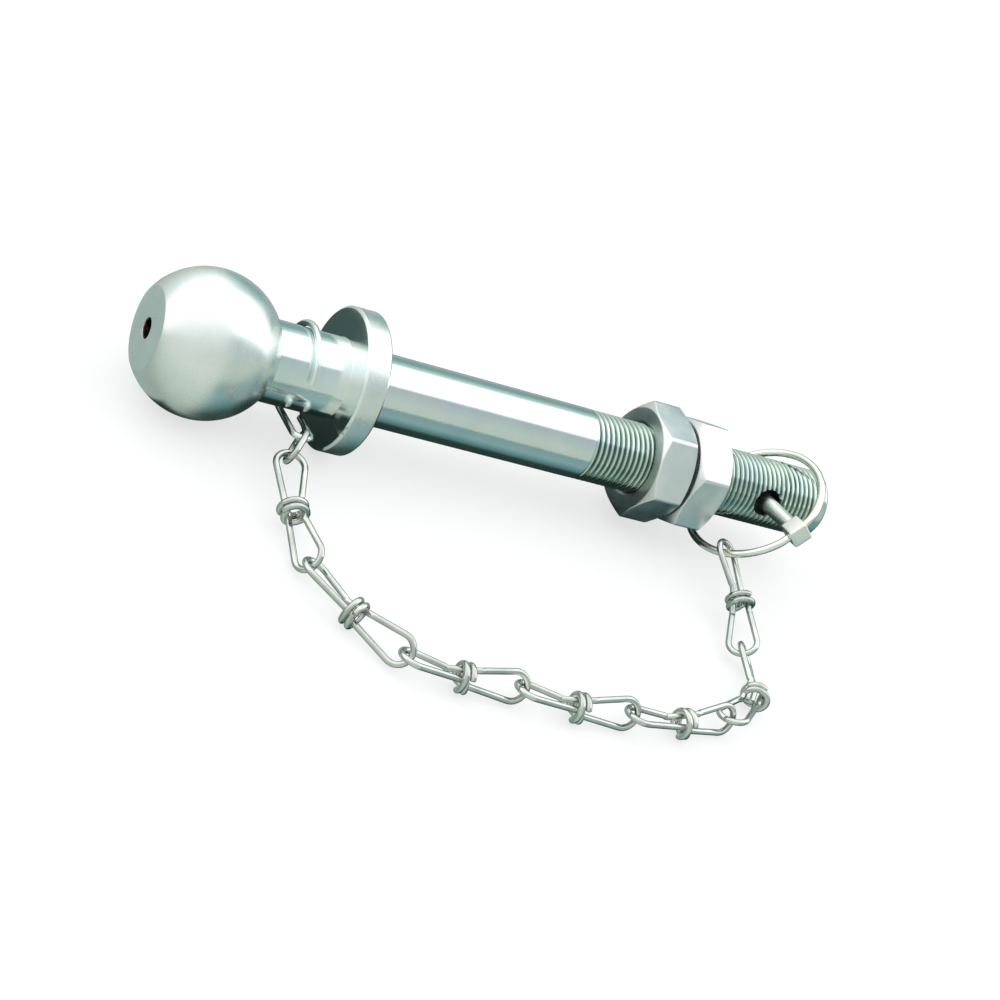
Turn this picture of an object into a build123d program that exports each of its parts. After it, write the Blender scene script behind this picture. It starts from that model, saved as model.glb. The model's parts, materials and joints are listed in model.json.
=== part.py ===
from build123d import *
import math
import os

# Gooseneck hitch ball lying on a flat surface, in millimetres.
# +X runs along the shank from the collar to the threaded end and +Z is up.
# The origin is on the shank axis, in the plane of the collar's back (seating) face.

# ---- ball stud: ball, neck, collar and threaded shank, forged and turned as one piece ----
BALL_R = 25.0
BALL_CENTRE_X = -55.7
BALL_FLAT_FROM_CENTRE = 20.6
CENTRE_HOLE_R = 3.35
CENTRE_HOLE_DEPTH = 12.0
CENTRE_HOLE_CHAMFER = 0.4
DRILL_POINT_DEG = 118.0
NECK_R = 13.9
COLLAR_R = 24.9
COLLAR_THICKNESS = 9.1
COLLAR_CHAMFER = 0.8
SHANK_R = 12.7
STUD_END_X = 194.1
END_CHAMFER = 1.6

THREAD_START_X = 91.0
THREAD_END_X = 189.4
THREAD_PITCH = 25.4 / 12
THREAD_CREST_R = 12.67
THREAD_DEPTH = 1.2
THREAD_FLAT = 0.35

CROSS_HOLE_X = 167.3
CROSS_HOLE_R = 5.25

# ---- jam nuts: 1 inch thread, 38.1 mm across flats ----
NUT_ACROSS_FLATS = 38.1
NUT_CHAMFER_R = 18.6
NUT_CHAMFER_DEG = 30.0
NUT_BORE_R = 12.76
NUT_COUNTERSINK_R = 13.9
INNER_NUT_X = (112.9, 127.5)
OUTER_NUT_X = (129.2, 143.6)
INNER_NUT_CORNER_DEG = 26.8
OUTER_NUT_CORNER_DEG = -3.5

# ---- linch pin: it passes through the cross hole, and its head carries the ring ----
PIN_ELEVATION_DEG = 19.0
PIN_R = 2.9
PIN_TIP_FROM_AXIS = 21.0
PIN_TIP_CHAMFER = 1.4
HEAD_FROM_AXIS = 34.2
HEAD_LENGTH = 7.6
HEAD_WIDTH = 7.2
HEAD_HEIGHT = 7.0
HEAD_CHAMFER = 1.0
HEAD_BORE_R = 1.48

RING_WIRE_R = 1.4
RING_R = 25.2
RING_STRAIGHT = 4.2
RING_CORNER_R = 12.0
RING_END_GAP = 0.6
RING_TWIST_DEG = 50.6
RING_SKEW_DEG = 8.7
RING_TILT_DEG = 5.5

# ---- neck clip: a spring wire round the neck, ending in a hairpin eye ----
CLIP_WIRE_R = 1.15
CLIP_X = -22.6
CLIP_GAP = 0.3
CLIP_START_DEG = 68.0
CLIP_WRAP_DEG = 263.0
CLIP_TAIL = 16.5
CLIP_EYE_R = 3.3
CLIP_RETURN = 12.5

# ---- chain: double loop links, each a wire tied in a knot at its middle ----
CHAIN_WIRE_R = 1.1
LOOP_R = 5.0
LOOP_THROAT = 2.3
KNOT_R = 4.3
KNOT_TURN_OFFSET = 1.25
LEG_PAST_KNOT = 3.0
LINK_GAP = 0.5
CONNECTOR_R = 3.6
CONNECTOR_GAP = 0.45

# The chain's stations, from the neck to the ring: a contact, a knot, a contact, and so on.
CHAIN_STATIONS = [
    (-23.6, -29.3, -13.5),
    (-24.1, -50.3, -17.6),
    (-21.1, -71.5, -18.8),
    (-8.7, -88.9, -19.5),
    (6.3, -103.6, -18.6),
    (26.7, -107.4, -19.5),
    (48.0, -107.6, -18.7),
    (69.1, -110.7, -19.5),
    (90.4, -109.6, -18.7),
    (111.8, -108.5, -19.5),
    (132.3, -102.3, -18.7),
    (148.9, -88.8, -19.5),
    (151.0, -67.4, -18.7),
    (154.6, -46.6, -14.9),
    (149.6, -27.1, -7.4),
]
# Roll of each half link's loop about its own line, from level, two for each link.
LOOP_ROLLS_DEG = [5, 62, -20, 60, -20, 60, -20, 60, -18, 62, -20, 42, -36, 18]


def polar(radius, degrees, x):
    """A point at a radius from the X axis, at an angle from +Z towards -Y."""
    angle = math.radians(degrees)
    return Vector(x, -radius * math.sin(angle), radius * math.cos(angle))


def wire_solid(edges, radius):
    """A round wire along a chain of tangent edges."""
    path = Wire(edges)
    section = Plane(origin=path @ 0, z_dir=path % 0) * Circle(radius)
    return sweep(section, path=path).solid()


def thread_profile():
    """The outline of the thread's crests and roots, as points along the axis."""
    points = []
    flank = THREAD_PITCH / 2 - THREAD_FLAT
    turns = int((THREAD_END_X - THREAD_START_X) / THREAD_PITCH)
    for turn in range(turns):
        x = THREAD_START_X + turn * THREAD_PITCH
        points.append((x, THREAD_CREST_R))
        points.append((x + flank, THREAD_CREST_R - THREAD_DEPTH))
        points.append((x + flank + THREAD_FLAT, THREAD_CREST_R - THREAD_DEPTH))
        points.append((x + 2 * flank + THREAD_FLAT, THREAD_CREST_R))
    return points


def make_ball_stud():
    """The turned blank with its thread, less the cross hole."""
    flat_x = BALL_CENTRE_X - BALL_FLAT_FROM_CENTRE
    flat_r = math.sqrt(BALL_R ** 2 - BALL_FLAT_FROM_CENTRE ** 2)
    neck_x = BALL_CENTRE_X + math.sqrt(BALL_R ** 2 - NECK_R ** 2)
    drill_tip = CENTRE_HOLE_R / math.tan(math.radians(DRILL_POINT_DEG / 2))
    hole_x = flat_x + CENTRE_HOLE_DEPTH
    bore_edge = [
        (hole_x + drill_tip, 0),
        (hole_x, CENTRE_HOLE_R),
        (flat_x + CENTRE_HOLE_CHAMFER, CENTRE_HOLE_R),
        (flat_x, CENTRE_HOLE_R + CENTRE_HOLE_CHAMFER),
        (flat_x, flat_r),
    ]
    front_x = -COLLAR_THICKNESS
    back_edge = [
        (neck_x, NECK_R),
        (front_x, NECK_R),
        (front_x, COLLAR_R - COLLAR_CHAMFER),
        (front_x + COLLAR_CHAMFER, COLLAR_R),
        (-COLLAR_CHAMFER, COLLAR_R),
        (0, COLLAR_R - COLLAR_CHAMFER),
        (0, SHANK_R),
        (THREAD_START_X - THREAD_PITCH, SHANK_R),
    ]
    end_edge = [
        (THREAD_END_X, THREAD_CREST_R),
        (STUD_END_X - END_CHAMFER, THREAD_CREST_R),
        (STUD_END_X, THREAD_CREST_R - END_CHAMFER),
        (STUD_END_X, 0),
        (hole_x + drill_tip, 0),
    ]
    ball_arc = ThreePointArc((flat_x, flat_r), (BALL_CENTRE_X, BALL_R), (neck_x, NECK_R))
    outline = [Polyline(*bore_edge), ball_arc, Polyline(*(back_edge + thread_profile() + end_edge))]
    blank = revolve(make_face(outline), axis=Axis.X)
    hole = pin_plane() * Cylinder(CROSS_HOLE_R, 4 * SHANK_R)
    return (blank - hole).solid()


def make_nut(span, corner_deg):
    """A hexagon nut about the X axis, chamfered on both faces, with a plain bore."""
    start, end = span
    corner_r = NUT_ACROSS_FLATS / math.sqrt(3)
    drop = (corner_r - NUT_CHAMFER_R) * math.tan(math.radians(NUT_CHAMFER_DEG))
    sink = NUT_COUNTERSINK_R - NUT_BORE_R
    corners = [polar(corner_r, corner_deg + 60 * side, start) for side in range(6)]
    prism = extrude(make_face(Polyline(*corners, close=True)), amount=end - start, dir=(1, 0, 0))
    outline = [
        (start + sink, NUT_BORE_R),
        (start, NUT_COUNTERSINK_R),
        (start, NUT_CHAMFER_R),
        (start + drop, corner_r),
        (start + drop, corner_r + 1),
        (end - drop, corner_r + 1),
        (end - drop, corner_r),
        (end, NUT_CHAMFER_R),
        (end, NUT_COUNTERSINK_R),
        (end - sink, NUT_BORE_R),
    ]
    turned = revolve(make_face(Polyline(*outline, close=True)), axis=Axis.X)
    return (prism & turned).solid()


def pin_direction():
    """Unit vector from the shank axis out to the linch pin's head."""
    angle = math.radians(PIN_ELEVATION_DEG)
    return Vector(0, -math.cos(angle), math.sin(angle))


def pin_plane():
    """A plane on the shank axis at the cross hole, whose normal is the pin's line."""
    return Plane(origin=(CROSS_HOLE_X, 0, 0), x_dir=(1, 0, 0), z_dir=pin_direction())


def ring_plane():
    """The ring's plane at the head: x along the ring's bore, y from the head to the ring's middle."""
    out = pin_direction()
    along = Vector(1, 0, 0)
    side = out.cross(along)
    twist = math.radians(RING_TWIST_DEG)
    bore = along * math.cos(twist) + side * math.sin(twist)
    inward = out * -1
    normal = bore.cross(inward)
    bore = bore.rotate(Axis((0, 0, 0), normal), RING_SKEW_DEG)
    normal = normal.rotate(Axis((0, 0, 0), bore), RING_TILT_DEG)
    origin = Vector(CROSS_HOLE_X, 0, 0) + out * HEAD_FROM_AXIS
    return Plane(origin=origin, x_dir=bore, z_dir=normal)


def make_linch_pin():
    """A round pin with a pointed tip and a block head, bored across for the ring's two ends."""
    frame = pin_plane()
    bottom = HEAD_FROM_AXIS - HEAD_LENGTH / 2
    shank_length = bottom + 1 + PIN_TIP_FROM_AXIS
    shank = Pos(0, 0, bottom + 1 - shank_length / 2) * Cylinder(PIN_R, shank_length)
    tip_edges = shank.edges().sort_by(Axis.Z)[0]
    shank = chamfer(tip_edges, length=PIN_TIP_CHAMFER)
    head = Rot(0, 0, RING_TWIST_DEG) * Box(HEAD_WIDTH, HEAD_HEIGHT, HEAD_LENGTH)
    head = chamfer(head.edges(), length=HEAD_CHAMFER)
    head = Pos(0, 0, HEAD_FROM_AXIS) * head
    across = ring_plane()
    bore_plane = Plane(origin=across.origin, z_dir=across.x_dir)
    bore = bore_plane * Cylinder(HEAD_BORE_R, 4 * HEAD_WIDTH)
    return (frame * (shank + head) - bore).solid()


def make_linch_ring():
    """A round wire ring whose two straight ends face each other inside the head."""
    centre_y = RING_CORNER_R + math.sqrt((RING_R - RING_CORNER_R) ** 2 - RING_STRAIGHT ** 2)
    reach = RING_R / (RING_R - RING_CORNER_R)
    join_x = RING_STRAIGHT * reach
    join_y = centre_y - (centre_y - RING_CORNER_R) * reach
    half_turn = math.atan2(join_x - RING_STRAIGHT, RING_CORNER_R - join_y) / 2
    mid_x = RING_STRAIGHT + RING_CORNER_R * math.sin(half_turn)
    mid_y = RING_CORNER_R - RING_CORNER_R * math.cos(half_turn)
    edges = [
        Line((RING_END_GAP, 0), (RING_STRAIGHT, 0)),
        ThreePointArc((RING_STRAIGHT, 0), (mid_x, mid_y), (join_x, join_y)),
        ThreePointArc((join_x, join_y), (0, centre_y + RING_R), (-join_x, join_y)),
        ThreePointArc((-join_x, join_y), (-mid_x, mid_y), (-RING_STRAIGHT, 0)),
        Line((-RING_STRAIGHT, 0), (-RING_END_GAP, 0)),
    ]
    return ring_plane() * wire_solid(edges, RING_WIRE_R)


def clip_frame():
    """Where the clip's wire leaves the neck: the point and the direction of its tail."""
    end_deg = CLIP_START_DEG - CLIP_WRAP_DEG
    radius = NECK_R + CLIP_GAP + CLIP_WIRE_R
    angle = math.radians(end_deg)
    return polar(radius, end_deg, CLIP_X), Vector(0, math.cos(angle), math.sin(angle))


def eye_centre():
    """Centre of the hairpin bend at the end of the clip's tail."""
    leave, tail = clip_frame()
    return leave + tail * CLIP_TAIL + Vector(CLIP_EYE_R, 0, 0)


def make_neck_clip():
    """A wire that wraps the neck, leaves it on a tangent and bends back in a hairpin eye."""
    leave, tail = clip_frame()
    radius = NECK_R + CLIP_GAP + CLIP_WIRE_R
    along = Vector(1, 0, 0)
    turn = leave + tail * CLIP_TAIL
    centre = eye_centre()
    back = turn + along * (2 * CLIP_EYE_R)
    start = polar(radius, CLIP_START_DEG, CLIP_X)
    middle = polar(radius, CLIP_START_DEG - CLIP_WRAP_DEG / 2, CLIP_X)
    edges = [
        ThreePointArc(start, middle, leave),
        Line(leave, turn),
        ThreePointArc(turn, centre + tail * CLIP_EYE_R, back),
        Line(back, back - tail * CLIP_RETURN),
    ]
    return wire_solid(edges, CLIP_WIRE_R)


def chain_point(index):
    """A chain station as a vector."""
    return Vector(*CHAIN_STATIONS[index])


def eye_contact():
    """Where the connector link meets the inside of the clip's eye."""
    tail = clip_frame()[1]
    return eye_centre() + tail * (CLIP_EYE_R - CLIP_WIRE_R - CONNECTOR_GAP)


def make_connector_link():
    """A plain oval link between the clip's eye and the chain's first loop."""
    upper = eye_contact()
    lower = chain_point(0)
    line = (lower - upper).normalized()
    normal = line.cross(line.cross(Vector(1, 0, 0)))
    plane = Plane(origin=(upper + lower) * 0.5, x_dir=line, z_dir=normal)
    reach = (lower - upper).length / 2 + CHAIN_WIRE_R + CONNECTOR_GAP - CONNECTOR_R
    edges = [
        Line((-reach, -CONNECTOR_R), (reach, -CONNECTOR_R)),
        ThreePointArc((reach, -CONNECTOR_R), (reach + CONNECTOR_R, 0), (reach, CONNECTOR_R)),
        Line((reach, CONNECTOR_R), (-reach, CONNECTOR_R)),
        ThreePointArc((-reach, CONNECTOR_R), (-reach - CONNECTOR_R, 0), (-reach, -CONNECTOR_R)),
    ]
    return plane * wire_solid(edges, CHAIN_WIRE_R)


def loop_edges(reach):
    """Half a link in its own plane: a leg, the round end and the other leg, along +x."""
    centre = reach - LOOP_R
    slope = math.asin(LOOP_R / math.hypot(centre, LOOP_THROAT)) - math.atan2(LOOP_THROAT, centre)
    tangent_x = centre - LOOP_R * math.sin(slope)
    tangent_y = LOOP_R * math.cos(slope)
    start_x = -LEG_PAST_KNOT
    start_y = tangent_y - (tangent_x - start_x) * math.tan(slope)
    return [
        Line((start_x, start_y), (tangent_x, tangent_y)),
        ThreePointArc((tangent_x, tangent_y), (reach, 0), (tangent_x, -tangent_y)),
        Line((tangent_x, -tangent_y), (start_x, -start_y)),
    ]


def make_half_link(knot, tip, line, roll_deg):
    """The loop that runs from the knot to a contact, rolled about the link's line."""
    level = Vector(0, 0, 1).cross(line)
    width = level.rotate(Axis((0, 0, 0), line), roll_deg)
    outward = (tip - knot).normalized()
    reach = (tip - knot).length + CHAIN_WIRE_R + LINK_GAP
    plane = Plane(origin=knot, x_dir=outward, z_dir=outward.cross(width))
    return plane * wire_solid(loop_edges(reach), CHAIN_WIRE_R)


def make_chain_link(number):
    """Two loops about a knot of two turns, as one piece of wire."""
    start = chain_point(2 * number)
    knot = chain_point(2 * number + 1)
    end = chain_point(2 * number + 2)
    link = make_half_link(knot, start, (knot - start).normalized(), LOOP_ROLLS_DEG[2 * number])
    link += make_half_link(knot, end, (end - knot).normalized(), LOOP_ROLLS_DEG[2 * number + 1])
    line = (end - start).normalized()
    for offset in (-KNOT_TURN_OFFSET, KNOT_TURN_OFFSET):
        link += Plane(origin=knot + line * offset, z_dir=line) * Torus(KNOT_R, CHAIN_WIRE_R)
    return link


def main():
    os.makedirs("parts", exist_ok=True)
    nodes = {
        "ball_stud": make_ball_stud(),
        "inner_nut": make_nut(INNER_NUT_X, INNER_NUT_CORNER_DEG),
        "outer_nut": make_nut(OUTER_NUT_X, OUTER_NUT_CORNER_DEG),
        "linch_pin": make_linch_pin(),
        "linch_ring": make_linch_ring(),
        "neck_clip": make_neck_clip(),
        "connector_link": make_connector_link(),
    }
    for number in range(len(CHAIN_STATIONS) // 2):
        nodes[f"chain_link_{number + 1}"] = make_chain_link(number)
    for name, shape in nodes.items():
        export_step(shape, f"parts/{name}.step")


main()
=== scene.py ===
import json
import math

import bmesh
import bpy
from mathutils import Matrix, Quaternion, Vector


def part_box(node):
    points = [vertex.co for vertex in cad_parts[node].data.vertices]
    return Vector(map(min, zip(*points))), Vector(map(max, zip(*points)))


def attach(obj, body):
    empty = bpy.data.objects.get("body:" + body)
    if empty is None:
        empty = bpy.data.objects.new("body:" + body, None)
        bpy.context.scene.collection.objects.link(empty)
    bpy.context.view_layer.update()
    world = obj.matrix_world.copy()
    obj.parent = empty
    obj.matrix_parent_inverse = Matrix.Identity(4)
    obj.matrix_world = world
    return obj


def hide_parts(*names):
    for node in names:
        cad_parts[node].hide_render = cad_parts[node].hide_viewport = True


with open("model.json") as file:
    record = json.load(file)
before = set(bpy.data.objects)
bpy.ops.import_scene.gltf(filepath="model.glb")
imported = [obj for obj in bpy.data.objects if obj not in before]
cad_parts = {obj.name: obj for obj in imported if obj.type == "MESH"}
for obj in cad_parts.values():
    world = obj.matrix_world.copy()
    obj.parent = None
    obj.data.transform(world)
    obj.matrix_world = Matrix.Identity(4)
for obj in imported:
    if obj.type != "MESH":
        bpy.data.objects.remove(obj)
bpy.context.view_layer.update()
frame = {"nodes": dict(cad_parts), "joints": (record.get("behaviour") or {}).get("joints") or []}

# Everything is in metres, in the part's own frame: +X runs along the shank and +Z is up.
# The origin is on the shank's axis, at the collar's back face.

# ---- ball stud ----
BALL_R = 0.025
BALL_FLAT = 0.0206
CENTRE_HOLE_R = 0.00335
CENTRE_HOLE_DEPTH = 0.012
CENTRE_HOLE_CHAMFER = 0.0004
DRILL_POINT_RUN = 0.0020
NECK_R = 0.0139
COLLAR_R = 0.0249
COLLAR_THICKNESS = 0.0091
COLLAR_CHAMFER = 0.0008
SHANK_R = 0.0127
END_CHAMFER = 0.0016
SOFT_EDGE = 0.00022

THREAD_START = 0.091 - 0.0254 / 12
THREAD_END = 0.1894
THREAD_PITCH = 0.0254 / 12
THREAD_CREST_R = 0.01267
THREAD_DEPTH = 0.0012
THREAD_FLAT = 0.00035
CROSS_HOLE_R = 0.00525
CROSS_HOLE_EASE = 0.0005

STUD_SEGMENTS = 160
BALL_ARC_STEPS = 90
END_SOFT_EDGE = 0.0005

# ---- nuts ----
NUT_ACROSS_FLATS = 0.0381
NUT_CHAMFER_R = 0.0186
NUT_CHAMFER_SLOPE = math.tan(math.radians(30))
NUT_BORE_R = 0.01276
NUT_COUNTERSINK_R = 0.0139
NUT_EDGE_R = 0.0006
NUT_SEGMENTS = 216
INNER_NUT_CORNER_DEG = 26.8
OUTER_NUT_CORNER_DEG = -3.5

# ---- linch pin ----
PIN_R = 0.0029
PIN_TIP_FROM_AXIS = 0.021
PIN_TIP_CHAMFER = 0.0014
HEAD_SIZE = (0.0072, 0.0070, 0.0076)
HEAD_ROUND = 0.0009
HEAD_BORE_R = 0.00148
HEAD_TWIST_DEG = 50.6
HEAD_BORE_REACH = 0.01

# ---- chain: each link is one wire, two loops and a knot ----
CHAIN_WIRE_R = 0.0011
LOOP_R = 0.0050
LOOP_THROAT = 0.0023
KNOT_R = 0.0043
KNOT_TURN_OFFSET = 0.00125
LINK_GAP = 0.0005
LEG_START = 0.0028
KNOT_TURN_START_DEG = 8.0
KNOT_TURN_END_DEG = 345.0
KNOT_TURN_RISE = 0.0002
WIRE_SIDES = 20
WIRE_STEP = 0.0004

# Chain stations from the neck to the ring: a contact, a knot, a contact, and so on.
CHAIN_STATIONS = [
    (-0.0236, -0.0293, -0.0135),
    (-0.0241, -0.0503, -0.0176),
    (-0.0211, -0.0715, -0.0188),
    (-0.0087, -0.0889, -0.0195),
    (0.0063, -0.1036, -0.0186),
    (0.0267, -0.1074, -0.0195),
    (0.0480, -0.1076, -0.0187),
    (0.0691, -0.1107, -0.0195),
    (0.0904, -0.1096, -0.0187),
    (0.1118, -0.1085, -0.0195),
    (0.1323, -0.1023, -0.0187),
    (0.1489, -0.0888, -0.0195),
    (0.1510, -0.0674, -0.0187),
    (0.1546, -0.0466, -0.0149),
    (0.1496, -0.0271, -0.0074),
]
LOOP_ROLLS_DEG = [5, 62, -20, 60, -20, 60, -20, 60, -18, 62, -20, 42, -36, 18]

STUD_LOW, STUD_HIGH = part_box("ball_stud")
FLOOR_Z = STUD_LOW.z

joints = {joint["name"]: joint for joint in frame["joints"]}


# ---------------------------------------------------------------- mesh helpers


def finish_mesh(name, mesh_bm, body, node, materials, sharp_deg=32):
    """Turns a bmesh into a smooth-shaded piece that rides on a body and replaces a CAD node."""
    bmesh.ops.remove_doubles(mesh_bm, verts=mesh_bm.verts, dist=2e-7)
    bmesh.ops.dissolve_degenerate(mesh_bm, edges=mesh_bm.edges, dist=2e-7)
    bmesh.ops.recalc_face_normals(mesh_bm, faces=mesh_bm.faces)
    limit = math.radians(sharp_deg)
    for face in mesh_bm.faces:
        face.smooth = True
    for edge in mesh_bm.edges:
        edge.smooth = len(edge.link_faces) == 2 and edge.calc_face_angle(0.0) < limit
    mesh = bpy.data.meshes.new(name)
    mesh_bm.to_mesh(mesh)
    mesh_bm.free()
    piece = bpy.data.objects.new(name, mesh)
    bpy.context.scene.collection.objects.link(piece)
    for material in materials:
        mesh.materials.append(material)
    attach(piece, body)
    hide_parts(node)
    return piece


def rounded(outline, radius, steps=4):
    """A polyline of (x, r) points with each inner corner turned into a small arc."""
    result = [outline[0]]
    for before, here, after in zip(outline, outline[1:], outline[2:]):
        corner = Vector(here)
        back = Vector(before) - corner
        ahead = Vector(after) - corner
        reach = min(radius, 0.45 * back.length, 0.45 * ahead.length)
        start = corner + back.normalized() * reach
        end = corner + ahead.normalized() * reach
        for step in range(steps + 1):
            t = step / steps
            point = start.lerp(corner, t).lerp(corner.lerp(end, t), t)
            result.append((point.x, point.y))
    result.append(outline[-1])
    return result


def ring_of(mesh_bm, x, radius, segments):
    """A circle of vertices about the X axis, or one vertex on the axis."""
    if radius < 1e-9:
        return [mesh_bm.verts.new((x, 0, 0))]
    turn = 2 * math.pi / segments
    ring = []
    for index in range(segments):
        angle = index * turn
        ring.append(mesh_bm.verts.new((x, radius * math.cos(angle), radius * math.sin(angle))))
    return ring


def bridge(mesh_bm, first, second):
    """Faces between two rings, either of which may be one vertex."""
    count = max(len(first), len(second))
    for index in range(count):
        following = (index + 1) % count
        if len(first) == 1:
            mesh_bm.faces.new((first[0], second[index], second[following]))
        elif len(second) == 1:
            mesh_bm.faces.new((first[index], second[0], first[following]))
        else:
            mesh_bm.faces.new((first[index], second[index], second[following], first[following]))


def turned(mesh_bm, outline, segments):
    """A surface of revolution about the X axis; returns its first and last rings."""
    rings = [ring_of(mesh_bm, x, radius, segments) for x, radius in outline]
    for first, second in zip(rings, rings[1:]):
        bridge(mesh_bm, first, second)
    return rings[0], rings[-1]


def smooth_step(value):
    """0 below 0, 1 above 1, and a smooth rise between."""
    value = min(max(value, 0.0), 1.0)
    return value * value * (3 - 2 * value)


def tube(mesh_bm, points, radius, sides):
    """A round wire along a smooth line of points, with domed ends."""
    tangents = []
    for index in range(len(points)):
        before = points[max(index - 1, 0)]
        after = points[min(index + 1, len(points) - 1)]
        tangents.append((after - before).normalized())
    side = tangents[0].orthogonal().normalized()
    rings = []

    def add_ring(centre, tangent, ring_radius):
        other = tangent.cross(side)
        ring = []
        for step in range(sides):
            angle = 2 * math.pi * step / sides
            offset = side * math.cos(angle) + other * math.sin(angle)
            ring.append(mesh_bm.verts.new(centre + offset * ring_radius))
        rings.append(ring)

    dome = [(0.35, 0.94), (0.65, 0.76), (0.9, 0.44)]
    start_tip = mesh_bm.verts.new(points[0] - tangents[0] * radius * 0.55)
    for along, share in reversed(dome):
        add_ring(points[0] - tangents[0] * radius * 0.55 * along, tangents[0], radius * share)
    for index, point in enumerate(points):
        if index:
            turn = tangents[index - 1].rotation_difference(tangents[index])
            side = (turn @ side).normalized()
        add_ring(point, tangents[index], radius)
    for along, share in dome:
        add_ring(points[-1] + tangents[-1] * radius * 0.55 * along, tangents[-1], radius * share)
    end_tip = mesh_bm.verts.new(points[-1] + tangents[-1] * radius * 0.55)
    bridge(mesh_bm, [start_tip], rings[0])
    for first, second in zip(rings, rings[1:]):
        bridge(mesh_bm, first, second)
    bridge(mesh_bm, rings[-1], [end_tip])


def smooth_line(knots, step):
    """A Catmull-Rom curve through the knots, sampled at an even spacing."""
    ends = [knots[0] * 2 - knots[1]] + list(knots) + [knots[-1] * 2 - knots[-2]]
    fine = []
    for index in range(1, len(ends) - 2):
        p0, p1, p2, p3 = ends[index - 1:index + 3]
        for part in range(12):
            t = part / 12
            fine.append(
                0.5 * (2 * p1 + (p2 - p0) * t + (2 * p0 - 5 * p1 + 4 * p2 - p3) * t * t
                       + (3 * p1 - p0 - 3 * p2 + p3) * t * t * t)
            )
    fine.append(ends[-2])
    result = [fine[0]]
    travelled = 0.0
    for before, after in zip(fine, fine[1:]):
        span = (after - before).length
        while travelled + span >= step:
            share = (step - travelled) / span
            before = before.lerp(after, share)
            result.append(before)
            span = (after - before).length
            travelled = 0.0
        travelled += span
    result.append(fine[-1])
    return result


def cut(piece, cutter_bm):
    """Takes a closed cutter away from a piece, and applies the result."""
    mesh = bpy.data.meshes.new("cutter")
    cutter_bm.to_mesh(mesh)
    cutter_bm.free()
    cutter = bpy.data.objects.new("cutter", mesh)
    bpy.context.scene.collection.objects.link(cutter)
    modifier = piece.modifiers.new("cut", "BOOLEAN")
    modifier.operation = "DIFFERENCE"
    modifier.solver = "EXACT"
    modifier.object = cutter
    bpy.context.view_layer.update()
    shown = piece.evaluated_get(bpy.context.evaluated_depsgraph_get())
    result = bpy.data.meshes.new_from_object(shown)
    piece.modifiers.clear()
    piece.data = result
    bpy.data.objects.remove(cutter)


# ---------------------------------------------------------------- materials


class Nodes:
    """Short calls for building one material's node tree."""

    def __init__(self, name):
        self.material = bpy.data.materials.new(name)
        self.material.use_nodes = True
        self.tree = self.material.node_tree
        self.shader = self.tree.nodes["Principled BSDF"]

    def add(self, kind, inputs=(), **settings):
        node = self.tree.nodes.new(kind)
        for key, value in settings.items():
            setattr(node, key, value)
        for socket, value in dict(inputs).items():
            if isinstance(value, bpy.types.NodeSocket):
                self.tree.links.new(value, node.inputs[socket])
            else:
                node.inputs[socket].default_value = value
        return node

    def math(self, operation, first, second=0.0):
        return self.add("ShaderNodeMath", {0: first, 1: second}, operation=operation).outputs[0]

    def noise(self, scale, detail=3.0, vector=None, roughness=0.55):
        place = vector or self.add("ShaderNodeTexCoord").outputs["Object"]
        inputs = {"Vector": place, "Scale": scale, "Detail": detail, "Roughness": roughness}
        return self.add("ShaderNodeTexNoise", inputs).outputs["Fac"]

    def ramp(self, value, stops):
        node = self.add("ShaderNodeValToRGB", {"Fac": value})
        elements = node.color_ramp.elements
        while len(elements) < len(stops):
            elements.new(0.5)
        for element, (position, colour) in zip(elements, stops):
            element.position = position
            element.color = (*colour, 1.0)
        return node.outputs["Color"]

    def mix(self, share, first, second, blend="MIX"):
        node = self.add("ShaderNodeMix", data_type="RGBA", blend_type=blend)
        for socket, value in ((0, share), (6, first), (7, second)):
            if isinstance(value, bpy.types.NodeSocket):
                self.tree.links.new(value, node.inputs[socket])
            elif socket == 0:
                node.inputs[socket].default_value = value
            else:
                node.inputs[socket].default_value = (*value, 1.0)
        return node.outputs[2]

    def spread(self, value, low, high, start=0.3, end=0.7):
        inputs = {"Value": value, "From Min": start, "From Max": end, "To Min": low, "To Max": high}
        return self.add("ShaderNodeMapRange", inputs).outputs["Result"]

    def axis_place(self):
        """A point's place along the X axis, and its distance from it."""
        place = self.add("ShaderNodeTexCoord").outputs["Object"]
        parts = self.add("ShaderNodeSeparateXYZ", {"Vector": place}).outputs
        y_square = self.math("MULTIPLY", parts["Y"], parts["Y"])
        z_square = self.math("MULTIPLY", parts["Z"], parts["Z"])
        return parts["X"], self.math("SQRT", self.math("ADD", y_square, z_square))

    def lathe_lines(self, scale):
        """Fine rings about the X axis, as a turning tool leaves on round and flat faces alike."""
        x, height = self.axis_place()
        along = self.math("ADD", x, height)
        inputs = {"W": self.math("MULTIPLY", along, scale), "Scale": 1.0, "Detail": 4.0, "Roughness": 0.7}
        return self.add("ShaderNodeTexNoise", inputs, noise_dimensions="1D").outputs["Fac"]

    def bump(self, height, distance, strength, normal=None):
        inputs = {"Height": height, "Distance": distance, "Strength": strength}
        if normal:
            inputs["Normal"] = normal
        return self.add("ShaderNodeBump", inputs).outputs["Normal"]

    def finish(self, colour, roughness, normal):
        self.tree.links.new(colour, self.shader.inputs["Base Color"])
        self.tree.links.new(roughness, self.shader.inputs["Roughness"])
        self.tree.links.new(normal, self.shader.inputs["Normal"])
        self.shader.inputs["Metallic"].default_value = 1.0
        return self.material


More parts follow.
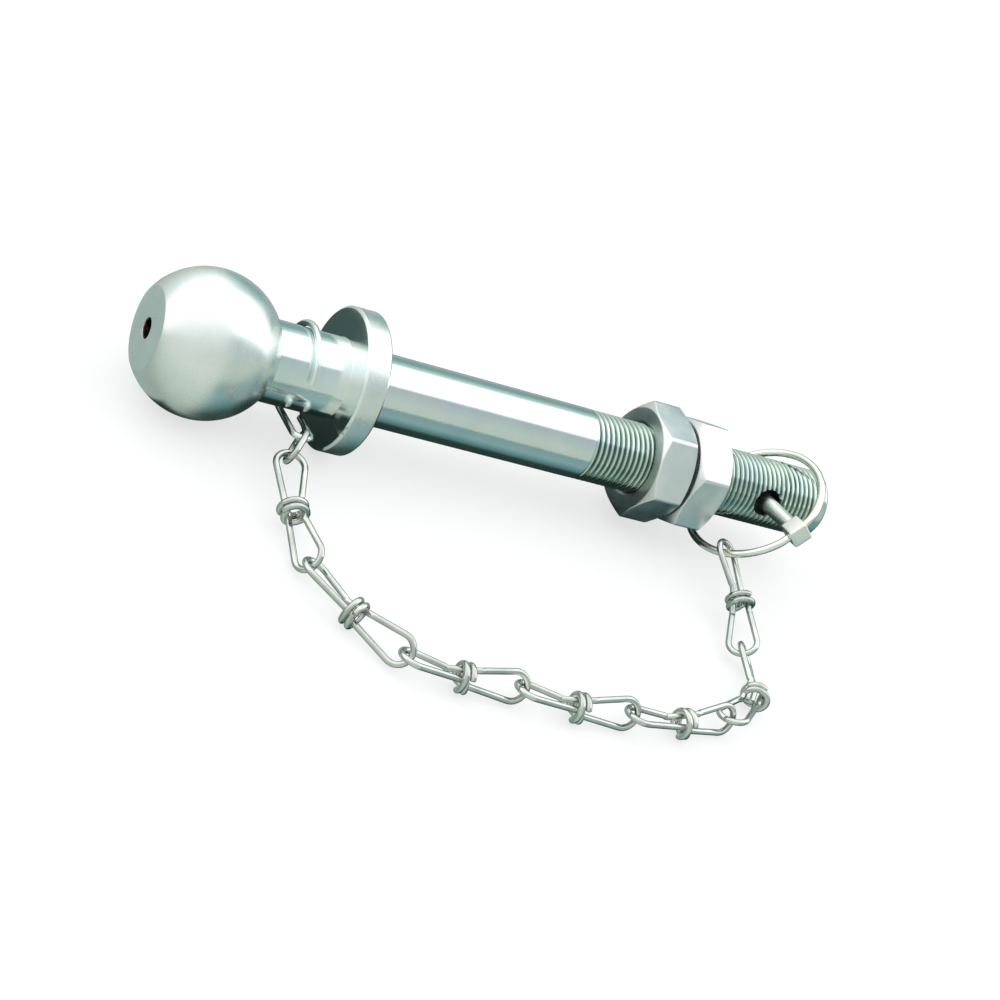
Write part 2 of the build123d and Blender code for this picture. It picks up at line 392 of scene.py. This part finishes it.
def zinc(name, light, dark, roughness, tint, lathe, grain):
    """Zinc plate: mottled grey, a faint passivation tint, worn edges, fine scratches and turning marks."""
    n = Nodes(name)
    cloud = n.noise(90.0, 4.0)
    film = n.noise(38.0, 2.0)
    speck = n.noise(2600.0, 2.0)
    base = n.mix(n.spread(cloud, 0.0, 1.0, 0.35, 0.65), dark, light)
    passivation = n.ramp(film, [
        (0.30, (0.62, 0.80, 0.80)),
        (0.45, (0.80, 0.86, 0.84)),
        (0.58, (0.86, 0.85, 0.74)),
        (0.70, (0.74, 0.80, 0.90)),
    ])
    colour = n.mix(tint, base, passivation)
    wear = n.spread(n.add("ShaderNodeNewGeometry").outputs["Pointiness"], 0.0, 0.6, 0.53, 0.62)
    colour = n.mix(wear, colour, (0.93, 0.94, 0.93))
    colour = n.mix(n.spread(speck, 0.0, 0.10), colour, (0.55, 0.58, 0.58))
    shine = n.math("ADD", n.spread(cloud, roughness * 0.82, roughness * 1.25), n.spread(speck, -0.02, 0.03))
    normal = n.bump(n.noise(1400.0, 4.0), 0.00003, grain)
    if lathe:
        normal = n.bump(n.lathe_lines(9000.0), 0.00004, lathe, normal)
    return n.finish(colour, shine, normal)


def thread_zinc(name):
    """Zinc on the thread: bright crests, with painted shade darkening the roots."""
    n = Nodes(name)
    height = n.axis_place()[1]
    root = THREAD_CREST_R - THREAD_DEPTH
    # Painted shade: a mask that is 0 in the thread's roots and 1 on the flanks and crests; the dark colour
    # below is painted into the roots as shade in the grooves.
    unshaded_share = n.spread(height, 0.0, 1.0, root + 0.1 * THREAD_DEPTH, root + 0.8 * THREAD_DEPTH)
    colour = n.mix(n.spread(n.noise(90.0, 4.0), 0.0, 1.0), (0.46, 0.59, 0.59), (0.74, 0.82, 0.82))
    colour = n.mix(n.spread(n.noise(60.0), 0.0, 0.4), colour, (0.72, 0.79, 0.50))
    colour = n.mix(unshaded_share, (0.18, 0.25, 0.24), colour)
    shine = n.spread(n.noise(300.0), 0.11, 0.20)
    return n.finish(colour, shine, n.bump(n.noise(1500.0, 3.0), 0.00003, 0.2))


def bare_bore(name):
    """The turning centre's bore: unplated steel with a brown cast, mostly painted near black as the shade
    inside the hole.
    """
    n = Nodes(name)
    # Painted shade: noise picks near-black shade for most of the bore, with the steel's brown showing in
    # patches.
    colour = n.ramp(n.noise(420.0, 3.0), [
        (0.40, (0.03, 0.018, 0.012)),
        (0.58, (0.14, 0.08, 0.045)),
        (0.74, (0.62, 0.43, 0.28)),
    ])
    roughness = n.spread(n.noise(900.0), 0.25, 0.45)
    return n.finish(colour, roughness, n.bump(n.lathe_lines(7000.0), 0.00004, 0.3))


def make_materials():
    """Every finish on the object, by the surface that wears it."""
    return {
        "ball": zinc(
            "ball_satin_zinc", (0.90, 0.93, 0.92), (0.80, 0.85, 0.83),
            roughness=0.27, tint=0.22, lathe=0.10, grain=0.5,
        ),
        "shank": zinc(
            "shank_bright_zinc", (0.88, 0.93, 0.92), (0.80, 0.87, 0.86),
            roughness=0.075, tint=0.25, lathe=0.25, grain=0.15,
        ),
        "rim": zinc(
            "collar_rim_zinc", (0.90, 0.92, 0.90), (0.80, 0.84, 0.80),
            roughness=0.26, tint=0.18, lathe=0.5, grain=0.3,
        ),
        "thread": thread_zinc("thread_zinc"),
        # The cross hole's walls: dark grey painted shade inside the hole.
        "drilled": zinc(
            "cross_hole_painted_shade", (0.16, 0.18, 0.18), (0.06, 0.08, 0.08),
            roughness=0.35, tint=0.0, lathe=0.0, grain=0.3,
        ),
        "bore": bare_bore("turning_centre_bore_painted_shade"),
        "nut": zinc(
            "nut_zinc_plate", (0.90, 0.91, 0.91), (0.80, 0.82, 0.83),
            roughness=0.30, tint=0.15, lathe=0.0, grain=0.5,
        ),
        "pin": zinc(
            "pin_zinc_plate", (0.97, 0.96, 0.92), (0.90, 0.89, 0.84),
            roughness=0.28, tint=0.10, lathe=0.0, grain=0.4,
        ),
        "ring": zinc(
            "ring_spring_wire", (0.97, 0.95, 0.86), (0.86, 0.84, 0.72),
            roughness=0.13, tint=0.10, lathe=0.0, grain=0.2,
        ),
        "clip": zinc(
            "clip_spring_wire", (0.88, 0.91, 0.90), (0.76, 0.80, 0.79),
            roughness=0.16, tint=0.20, lathe=0.0, grain=0.2,
        ),
        "chain": zinc(
            "chain_zinc_wire", (0.70, 0.70, 0.66), (0.44, 0.46, 0.44),
            roughness=0.10, tint=0.12, lathe=0.0, grain=0.25,
        ),
    }


# ---------------------------------------------------------------- ball stud


def thread_rows():
    """One pitch of the thread: (share of the pitch, share of the depth)."""
    flat = THREAD_FLAT / THREAD_PITCH
    flank = 0.5 - flat
    return [
        (0.0, 0.0),
        (flat * 0.5, 0.0),
        (flat, 0.0),
        (flat + flank * 0.12, 0.07),
        (flat + flank * 0.5, 0.5),
        (flat + flank * 0.9, 0.93),
        (flat + flank, 1.0),
        (flat * 1.5 + flank, 1.0),
        (flat * 2 + flank, 1.0),
        (flat * 2 + flank * 1.1, 0.93),
        (flat * 2 + flank * 1.5, 0.5),
        (flat * 2 + flank * 1.88, 0.07),
    ]


def add_thread(mesh_bm, segments):
    """The helical thread between THREAD_START and THREAD_END, as rows that follow the helix."""
    pitch_rows = thread_rows()
    turns = int((THREAD_END - THREAD_START) / THREAD_PITCH) + 3
    rows = []
    for turn in range(turns):
        for share, depth in pitch_rows:
            row = []
            for column in range(segments):
                lead = turn + share + column / segments - 1
                x = min(max(THREAD_START + lead * THREAD_PITCH, THREAD_START), THREAD_END)
                fade = smooth_step((x - THREAD_START) / (1.1 * THREAD_PITCH))
                fade *= smooth_step((THREAD_END - x) / (0.6 * THREAD_PITCH))
                radius = THREAD_CREST_R - THREAD_DEPTH * depth * fade
                angle = 2 * math.pi * column / segments
                row.append(mesh_bm.verts.new((x, radius * math.cos(angle), radius * math.sin(angle))))
            rows.append(row)
    shift = len(pitch_rows)
    for index in range(len(rows) - 1 - shift):
        here, after = rows[index], rows[index + 1]
        for column in range(segments - 1):
            mesh_bm.faces.new((here[column], after[column], after[column + 1], here[column + 1]))
        wrapped = rows[index + shift]
        wrapped_after = rows[index + 1 + shift]
        mesh_bm.faces.new((here[-1], after[-1], wrapped_after[0], wrapped[0]))


def stud_outlines():
    """The turned outline before the thread and after it."""
    flat_x = STUD_LOW.x
    ball_x = flat_x + BALL_FLAT
    start = math.acos(-BALL_FLAT / BALL_R)
    end = math.asin(NECK_R / BALL_R)
    hole_end = flat_x + CENTRE_HOLE_DEPTH
    hole = [
        (hole_end + DRILL_POINT_RUN, 0.0),
        (hole_end, CENTRE_HOLE_R),
        (flat_x + CENTRE_HOLE_CHAMFER, CENTRE_HOLE_R),
        (flat_x, CENTRE_HOLE_R + CENTRE_HOLE_CHAMFER),
        (flat_x, BALL_R * math.sin(start)),
    ]
    arc = []
    for step in range(1, BALL_ARC_STEPS + 1):
        angle = start + (end - start) * step / BALL_ARC_STEPS
        arc.append((ball_x + BALL_R * math.cos(angle), BALL_R * math.sin(angle)))
    body = [
        arc[-1],
        (-COLLAR_THICKNESS, NECK_R),
        (-COLLAR_THICKNESS, COLLAR_R - COLLAR_CHAMFER),
        (-COLLAR_THICKNESS + COLLAR_CHAMFER, COLLAR_R),
        (-COLLAR_CHAMFER, COLLAR_R),
        (0.0, COLLAR_R - COLLAR_CHAMFER),
        (0.0, SHANK_R),
        (THREAD_START - 0.0006, SHANK_R),
        (THREAD_START, THREAD_CREST_R),
    ]
    before = rounded(hole + [arc[0]], SOFT_EDGE) + arc[1:] + rounded(body, SOFT_EDGE)[1:]
    after = [
        (THREAD_END, THREAD_CREST_R),
        (STUD_HIGH.x - END_CHAMFER, THREAD_CREST_R),
        (STUD_HIGH.x, THREAD_CREST_R - END_CHAMFER),
        (STUD_HIGH.x, 0.0),
    ]
    return before, rounded(after, END_SOFT_EDGE)


STUD_FINISHES = ("bore", "ball", "rim", "shank", "thread", "drilled")


def stud_finish(x, radius):
    """The finish at a point of the stud, from its place along and off the axis."""
    neck_x = STUD_LOW.x + BALL_FLAT + math.sqrt(BALL_R ** 2 - NECK_R ** 2)
    in_hole = x < STUD_LOW.x + CENTRE_HOLE_DEPTH + DRILL_POINT_RUN
    if in_hole and radius < CENTRE_HOLE_R + 0.0002:
        return "bore"
    if x < neck_x - 0.0001:
        return "ball"
    if radius > COLLAR_R - 0.0002:
        return "rim"
    if x < THREAD_START:
        return "shank"
    return "thread"


def pin_out():
    """Unit vector from the shank's axis to the linch pin's head."""
    return -Vector(joints["pin_slide"]["axis"]).normalized()


def head_centre():
    """The middle of the pin's head, where the ring's two ends meet."""
    return Vector(joints["ring_hinge"]["pos_m"])


def cross_hole_cutter():
    """A cylinder along the pin's line that widens at both ends, to ease the hole's edges."""
    rim = CROSS_HOLE_R + CROSS_HOLE_EASE * 2
    outline = [
        (-SHANK_R - CROSS_HOLE_EASE, 0.0),
        (-SHANK_R - CROSS_HOLE_EASE, rim),
        (-SHANK_R + 3 * CROSS_HOLE_EASE, CROSS_HOLE_R),
        (SHANK_R - 3 * CROSS_HOLE_EASE, CROSS_HOLE_R),
        (SHANK_R + CROSS_HOLE_EASE, rim),
        (SHANK_R + CROSS_HOLE_EASE, 0.0),
    ]
    hole = bmesh.new()
    turned(hole, outline, 72)
    bmesh.ops.recalc_face_normals(hole, faces=hole.faces)
    turn = Vector((1, 0, 0)).rotation_difference(pin_out()).to_matrix().to_4x4()
    hole.transform(Matrix.Translation((head_centre().x, 0, 0)) @ turn)
    return hole


def paint_stud(stud, materials):
    """Gives each face of the stud its finish, and the cross hole's faces the drilled one, whose dark colour
    is painted shade inside the hole.
    """
    for name in STUD_FINISHES:
        stud.data.materials.append(materials[name])
    out = pin_out()
    hole_middle = Vector((head_centre().x, 0, 0))
    hole_reach = CROSS_HOLE_R + CROSS_HOLE_EASE * 2 + 0.0001
    for face in stud.data.polygons:
        centre = face.center
        finish = stud_finish(centre.x, math.hypot(centre.y, centre.z))
        from_hole = centre - hole_middle
        from_line = from_hole - out * from_hole.dot(out)
        if from_line.length < hole_reach and abs(face.normal.dot(from_line.normalized())) > 0.9:
            finish = "drilled"
        face.material_index = STUD_FINISHES.index(finish)


def make_stud(materials):
    """The stud, turned and threaded in one piece, with the cross hole drilled through."""
    mesh_bm = bmesh.new()
    before, after = stud_outlines()
    turned(mesh_bm, before, STUD_SEGMENTS)
    add_thread(mesh_bm, STUD_SEGMENTS)
    turned(mesh_bm, after, STUD_SEGMENTS)
    stud = finish_mesh("stud", mesh_bm, "ball_stud", "ball_stud", [])
    cut(stud, cross_hole_cutter())
    paint_stud(stud, materials)


# ---------------------------------------------------------------- nuts


def hexagon_radius(angle):
    """Distance from the axis to a hexagon's side, with its corners slightly rounded."""
    inner = NUT_ACROSS_FLATS / 2
    sixth = math.pi / 3
    off_corner = abs((angle + sixth / 2) % sixth - sixth / 2)
    flat = inner / math.cos(sixth / 2 - off_corner)
    corner = inner / math.cos(sixth / 2)
    cap = (corner - 0.35 * NUT_EDGE_R) / math.cos(off_corner)
    return min(flat, cap)


def make_nut(node, corner_deg, materials):
    """A hexagon nut, chamfered on both faces, with countersunk bore ends."""
    low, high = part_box(node)
    start, end = low.x, high.x
    sink = NUT_COUNTERSINK_R - NUT_BORE_R
    mesh_bm = bmesh.new()
    columns = []
    for index in range(NUT_SEGMENTS):
        angle = 2 * math.pi * index / NUT_SEGMENTS
        outer = hexagon_radius(angle)
        drop = max((outer - NUT_CHAMFER_R) * NUT_CHAMFER_SLOPE, 0.00004)
        outline = [
            (end - sink, NUT_BORE_R),
            (start + sink, NUT_BORE_R),
            (start, NUT_COUNTERSINK_R),
            (start, NUT_CHAMFER_R),
            (start + drop, outer),
            (end - drop, outer),
            (end, NUT_CHAMFER_R),
            (end, NUT_COUNTERSINK_R),
            (end - sink, NUT_BORE_R),
        ]
        turned_angle = angle + math.radians(corner_deg)
        column = []
        for x, radius in rounded(outline, SOFT_EDGE, 3)[:-1]:
            y = -radius * math.sin(turned_angle)
            z = radius * math.cos(turned_angle)
            column.append(mesh_bm.verts.new((x, y, z)))
        columns.append(column)
    rows = len(columns[0])
    for index, column in enumerate(columns):
        following = columns[(index + 1) % NUT_SEGMENTS]
        for row in range(rows):
            after = (row + 1) % rows
            mesh_bm.faces.new((column[row], column[after], following[after], following[row]))
    return finish_mesh(f"{node}_body", mesh_bm, node, node, [materials["nut"]], 26)


# ---------------------------------------------------------------- linch pin


def pin_shank():
    """The pin's round shank with its rounded point, as a mesh that reaches into the head."""
    centre = head_centre()
    head_low = math.hypot(centre.y, centre.z) - HEAD_SIZE[2] / 2
    outline = [
        (-PIN_TIP_FROM_AXIS, 0.0),
        (-PIN_TIP_FROM_AXIS, PIN_R - PIN_TIP_CHAMFER),
        (-PIN_TIP_FROM_AXIS + PIN_TIP_CHAMFER, PIN_R),
        (head_low + 0.001, PIN_R),
        (head_low + 0.001, 0.0),
    ]
    shank = bmesh.new()
    turned(shank, rounded(outline, 0.0006, 5), 48)
    along = Vector((1, 0, 0)).rotation_difference(pin_out()).to_matrix().to_4x4()
    shank.transform(Matrix.Translation((centre.x, 0, 0)) @ along)
    return shank


def add_pin_head(pin_bm):
    """Adds the block head, round-edged and turned about the pin's line."""
    out = pin_out()
    head = bmesh.new()
    bmesh.ops.create_cube(head, size=1.0)
    bmesh.ops.scale(head, vec=HEAD_SIZE, verts=head.verts)
    bmesh.ops.bevel(head, geom=head.edges[:], offset=HEAD_ROUND, segments=4, profile=0.6, affect="EDGES")
    side = out.cross(Vector((1, 0, 0)))
    axes = Matrix((Vector((1, 0, 0)), side, out)).transposed().to_4x4()
    twist = Matrix.Rotation(math.radians(HEAD_TWIST_DEG), 4, "Z")
    head.transform(Matrix.Translation(head_centre()) @ axes @ twist)
    head_mesh = bpy.data.meshes.new("head")
    head.to_mesh(head_mesh)
    head.free()
    pin_bm.from_mesh(head_mesh)


def ring_bore_cutter():
    """A cylinder through the head, along the line that the ring hinges on."""
    outline = [
        (-HEAD_BORE_REACH, 0.0),
        (-HEAD_BORE_REACH, HEAD_BORE_R),
        (HEAD_BORE_REACH, HEAD_BORE_R),
        (HEAD_BORE_REACH, 0.0),
    ]
    bore = bmesh.new()
    turned(bore, outline, 32)
    bmesh.ops.recalc_face_normals(bore, faces=bore.faces)
    across = Vector(joints["ring_hinge"]["axis"])
    turn = Vector((1, 0, 0)).rotation_difference(across).to_matrix().to_4x4()
    bore.transform(Matrix.Translation(head_centre()) @ turn)
    return bore


def make_linch_pin(materials):
    """The pin: a shank with a block head, bored for the ring."""
    mesh_bm = pin_shank()
    add_pin_head(mesh_bm)
    pin = finish_mesh(
        "linch_pin_body", mesh_bm, "linch_pin", "linch_pin", [materials["pin"]], 40
    )
    cut(pin, ring_bore_cutter())


# ---------------------------------------------------------------- chain


def loop_points(knot, tip, roll_deg, line):
    """A loop's line, in its own plane: out from the knot along one leg, round the end and back."""
    level = Vector((0, 0, 1)).cross(line).normalized()
    width = Quaternion(line, math.radians(roll_deg)) @ level
    outward = (tip - knot).normalized()
    normal = outward.cross(width).normalized()
    width = normal.cross(outward).normalized()
    reach = (tip - knot).length + CHAIN_WIRE_R + LINK_GAP
    centre = reach - LOOP_R
    slope = math.asin(LOOP_R / math.hypot(centre, LOOP_THROAT)) - math.atan2(LOOP_THROAT, centre)
    leg = []
    tangent_x = centre - LOOP_R * math.sin(slope)
    tangent_y = LOOP_R * math.cos(slope)
    for step in range(1, 8):
        x = LEG_START + (tangent_x - LEG_START) * step / 8
        y = tangent_y - (tangent_x - x) * math.tan(slope)
        leg.append((x, y))
    arc = []
    for step in range(15):
        angle = math.pi / 2 + slope - (math.pi + 2 * slope) * step / 14
        arc.append((centre + LOOP_R * math.cos(angle), LOOP_R * math.sin(angle)))
    back = [(x, -y) for x, y in reversed(leg)]
    return [knot + outward * x + width * y for x, y in leg + arc + back]


def knot_turn(knot, line, width, start_deg, end_deg, start_along, end_along):
    """The wire's end: from a leg at the throat out to the turn's radius, and round the waist."""
    other = line.cross(width)
    points = []
    steps = 26
    for step in range(steps + 1):
        t = step / steps
        opened = smooth_step(t / 0.22)
        angle = math.radians(start_deg + (end_deg - start_deg) * t)
        radius = LOOP_THROAT + (KNOT_R - LOOP_THROAT) * opened
        along = start_along + (end_along - start_along) * smooth_step(t / 0.25)
        direction = width * math.cos(angle) + other * math.sin(angle)
        points.append(knot + direction * radius + line * along)
    return points


def off_line(point, origin, line):
    """Unit vector to a point, square to a line through the origin."""
    offset = point - origin
    return (offset - line * offset.dot(line)).normalized()


def link_line(number):
    """One link's wire from end to end: a turn, a loop, through the waist, a loop, and a turn."""
    start, knot, end = (Vector(p) for p in CHAIN_STATIONS[2 * number:2 * number + 3])
    rolls = LOOP_ROLLS_DEG[2 * number:2 * number + 2]
    line = (end - start).normalized()
    first = loop_points(knot, start, rolls[0], (knot - start).normalized())
    second = loop_points(knot, end, rolls[1], (end - knot).normalized())
    # The wire leaves the first loop on the side that is nearer to the second loop's first leg.
    if (first[-1] - second[0]).length > (first[0] - second[0]).length:
        first.reverse()
    turns = []
    for leg_end, side in ((first[0], 1), (second[-1], -1)):
        turns.append(knot_turn(
            knot, line, off_line(leg_end, knot, line), KNOT_TURN_START_DEG, KNOT_TURN_END_DEG,
            side * KNOT_TURN_RISE, side * KNOT_TURN_OFFSET,
        ))
    return smooth_line(list(reversed(turns[0])) + first + second + turns[1], WIRE_STEP)


def make_chain(materials):
    """The chain's links, each a knotted wire on its own body."""
    for number in range(len(CHAIN_STATIONS) // 2):
        node = f"chain_link_{number + 1}"
        mesh_bm = bmesh.new()
        tube(mesh_bm, link_line(number), CHAIN_WIRE_R, WIRE_SIDES)
        finish_mesh(f"{node}_wire", mesh_bm, node, node, [materials["chain"]], 60)


# ---------------------------------------------------------------- wires kept from the CAD model


def paint_cad_nodes(materials):
    """The ring, the clip and the connector keep their CAD shape and get a wire finish."""
    finishes = {"linch_ring": "ring", "neck_clip": "clip", "connector_link": "chain"}
    for node, finish in finishes.items():
        mesh = frame["nodes"][node].data
        mesh.materials.clear()
        mesh.materials.append(materials[finish])


# ---------------------------------------------------------------- floor, light and camera


def flat_sheet(name, corners, z, material_name):
    """A level sheet of one matt material; returns the sheet and the material's shader."""
    mesh = bpy.data.meshes.new(name)
    mesh.from_pydata([(x, y, z) for x, y in corners], [], [(0, 1, 2, 3)])
    sheet = bpy.data.objects.new(name, mesh)
    bpy.context.scene.collection.objects.link(sheet)
    material = bpy.data.materials.new(material_name)
    material.use_nodes = True
    mesh.materials.append(material)
    return sheet, material.node_tree.nodes["Principled BSDF"]


def make_floor():
    """A white light table that the object lies on, whose glow leaves only a faint shadow."""
    reach = 6.0
    corners = [(-reach, -reach), (reach, -reach), (reach, reach), (-reach, reach)]
    floor, shader = flat_sheet("floor", corners, FLOOR_Z - 0.0002, "pale_floor")
    shader.inputs["Base Color"].default_value = (0.34, 0.34, 0.34, 1)
    shader.inputs["Roughness"].default_value = 0.9
    shader.inputs["Specular IOR Level"].default_value = 0.1
    shader.inputs["Emission Color"].default_value = (1.0, 1.0, 1.0, 1)
    shader.inputs["Emission Strength"].default_value = 0.66
    floor.visible_glossy = False


# Brightness of the studio round the shank's axis: degrees from straight up towards the front, and a colour.
STUDIO_LEFT = [
    (-180, (0.34, 0.42, 0.38)),
    (-135, (0.36, 0.46, 0.44)),
    (-100, (0.50, 0.58, 0.54)),
    (-75, (0.80, 0.86, 0.82)),
    (-55, (1.50, 1.52, 1.50)),
    (-20, (1.45, 1.48, 1.47)),
    (20, (1.10, 1.14, 1.14)),
    (45, (0.80, 0.85, 0.84)),
    (65, (0.68, 0.74, 0.70)),
    (100, (0.72, 0.77, 0.71)),
    (130, (0.60, 0.69, 0.62)),
    (160, (0.50, 0.58, 0.52)),
    (180, (0.34, 0.42, 0.38)),
]
STUDIO_RIGHT = [
    (-180, (0.006, 0.022, 0.020)),
    (-160, (0.04, 0.06, 0.05)),
    (-130, (0.40, 0.45, 0.44)),
    (-105, (0.40, 0.48, 0.48)),
    (-85, (0.23, 0.38, 0.37)),
    (-68, (0.25, 0.40, 0.38)),
    (-50, (0.62, 0.76, 0.76)),
    (-40, (1.60, 1.65, 1.64)),
    (26, (1.50, 1.55, 1.58)),
    (33, (0.44, 0.52, 0.54)),
    (75, (0.53, 0.62, 0.57)),
    (100, (0.53, 0.62, 0.56)),
    (107, (0.23, 0.37, 0.36)),
    (132, (0.25, 0.40, 0.41)),
    (148, (0.15, 0.28, 0.29)),
    (166, (0.05, 0.13, 0.125)),
    (180, (0.006, 0.022, 0.020)),
]


def make_shadow_card():
    """A dark card on the table that only reflections see: painted shade standing in for the table's shade
    there, for the dark line low on the shank.
    """
    corners = [(-0.068, -0.017), (0.240, -0.017), (0.240, 0.090), (-0.068, 0.090)]
    card, shader = flat_sheet("shadow_card", corners, FLOOR_Z + 0.0001, "painted_shade_card")
    # Painted shade: the card's near-black colour.
    shader.inputs["Base Color"].default_value = (0.03, 0.06, 0.055, 1)
    shader.inputs["Roughness"].default_value = 1.0
    card.visible_camera = False
    card.visible_diffuse = False
    card.visible_shadow = False


def studio_ramp(tree, share, stops):
    """A colour ramp round the shank's axis."""
    ramp = tree.nodes.new("ShaderNodeValToRGB")
    tree.links.new(share, ramp.inputs["Fac"])
    elements = ramp.color_ramp.elements
    while len(elements) < len(stops):
        elements.new(0.5)
    for element, (degrees, colour) in zip(elements, stops):
        element.position = (degrees + 180) / 360
        element.color = (*colour, 1.0)
    return ramp.outputs["Color"]


def make_world():
    """Studio surroundings: a long white panel overhead, grey walls, and a table that is dark to the right."""
    world = bpy.data.worlds.new("studio")
    bpy.context.scene.world = world
    world.use_nodes = True
    tree = world.node_tree
    tree.nodes.clear()
    add, link = tree.nodes.new, tree.links.new
    parts = add("ShaderNodeSeparateXYZ")
    link(add("ShaderNodeTexCoord").outputs["Generated"], parts.inputs["Vector"])
    flip = add("ShaderNodeMath")
    flip.operation = "MULTIPLY"
    flip.inputs[1].default_value = -1.0
    link(parts.outputs["Y"], flip.inputs[0])
    angle = add("ShaderNodeMath")
    angle.operation = "ARCTAN2"
    link(flip.outputs[0], angle.inputs[0])
    link(parts.outputs["Z"], angle.inputs[1])
    share = add("ShaderNodeMapRange")
    share.inputs["From Min"].default_value = -math.pi
    share.inputs["From Max"].default_value = math.pi
    link(angle.outputs[0], share.inputs["Value"])
    to_right = add("ShaderNodeMapRange")
    to_right.interpolation_type = "SMOOTHSTEP"
    to_right.inputs["From Min"].default_value = 0.12
    to_right.inputs["From Max"].default_value = 0.38
    link(parts.outputs["X"], to_right.inputs["Value"])
    blend = add("ShaderNodeMix")
    blend.data_type = "RGBA"
    link(to_right.outputs["Result"], blend.inputs[0])
    link(studio_ramp(tree, share.outputs["Result"], STUDIO_LEFT), blend.inputs[6])
    link(studio_ramp(tree, share.outputs["Result"], STUDIO_RIGHT), blend.inputs[7])
    studio = add("ShaderNodeBackground")
    link(blend.outputs[2], studio.inputs["Color"])
    backdrop = add("ShaderNodeBackground")
    backdrop.inputs["Color"].default_value = (0.93, 0.94, 0.94, 1)
    choose = add("ShaderNodeMixShader")
    link(add("ShaderNodeLightPath").outputs["Is Camera Ray"], choose.inputs["Fac"])
    link(studio.outputs["Background"], choose.inputs[1])
    link(backdrop.outputs["Background"], choose.inputs[2])
    link(choose.outputs["Shader"], add("ShaderNodeOutputWorld").inputs["Surface"])


CAMERA_PLACE = Vector((-0.3237, -0.5506, 0.4149))
CAMERA_AHEAD = Vector((0.4904, 0.6755, -0.5506))
CAMERA_RIGHT = Vector((0.8462, -0.2179, 0.4863))
CAMERA_LENS_MM = 81.7


def make_camera():
    """The camera stands above the ball end, rolled so that the shank falls to the right."""
    camera = bpy.data.objects.new("camera", bpy.data.cameras.new("camera"))
    bpy.context.scene.collection.objects.link(camera)
    back = -CAMERA_AHEAD.normalized()
    up = back.cross(CAMERA_RIGHT).normalized()
    right = up.cross(back)
    axes = Matrix((right, up, back)).transposed().to_4x4()
    camera.matrix_world = Matrix.Translation(CAMERA_PLACE) @ axes
    camera.data.lens = CAMERA_LENS_MM
    camera.data.sensor_width = 36.0
    camera.data.clip_start = 0.01
    bpy.context.scene.camera = camera


make_camera()
make_floor()
make_shadow_card()
make_world()
materials = make_materials()
make_stud(materials)
make_nut("inner_nut", INNER_NUT_CORNER_DEG, materials)
make_nut("outer_nut", OUTER_NUT_CORNER_DEG, materials)
make_linch_pin(materials)
make_chain(materials)
paint_cad_nodes(materials)
bpy.context.scene.view_settings.view_transform = "Standard"

bpy.context.view_layer.update()
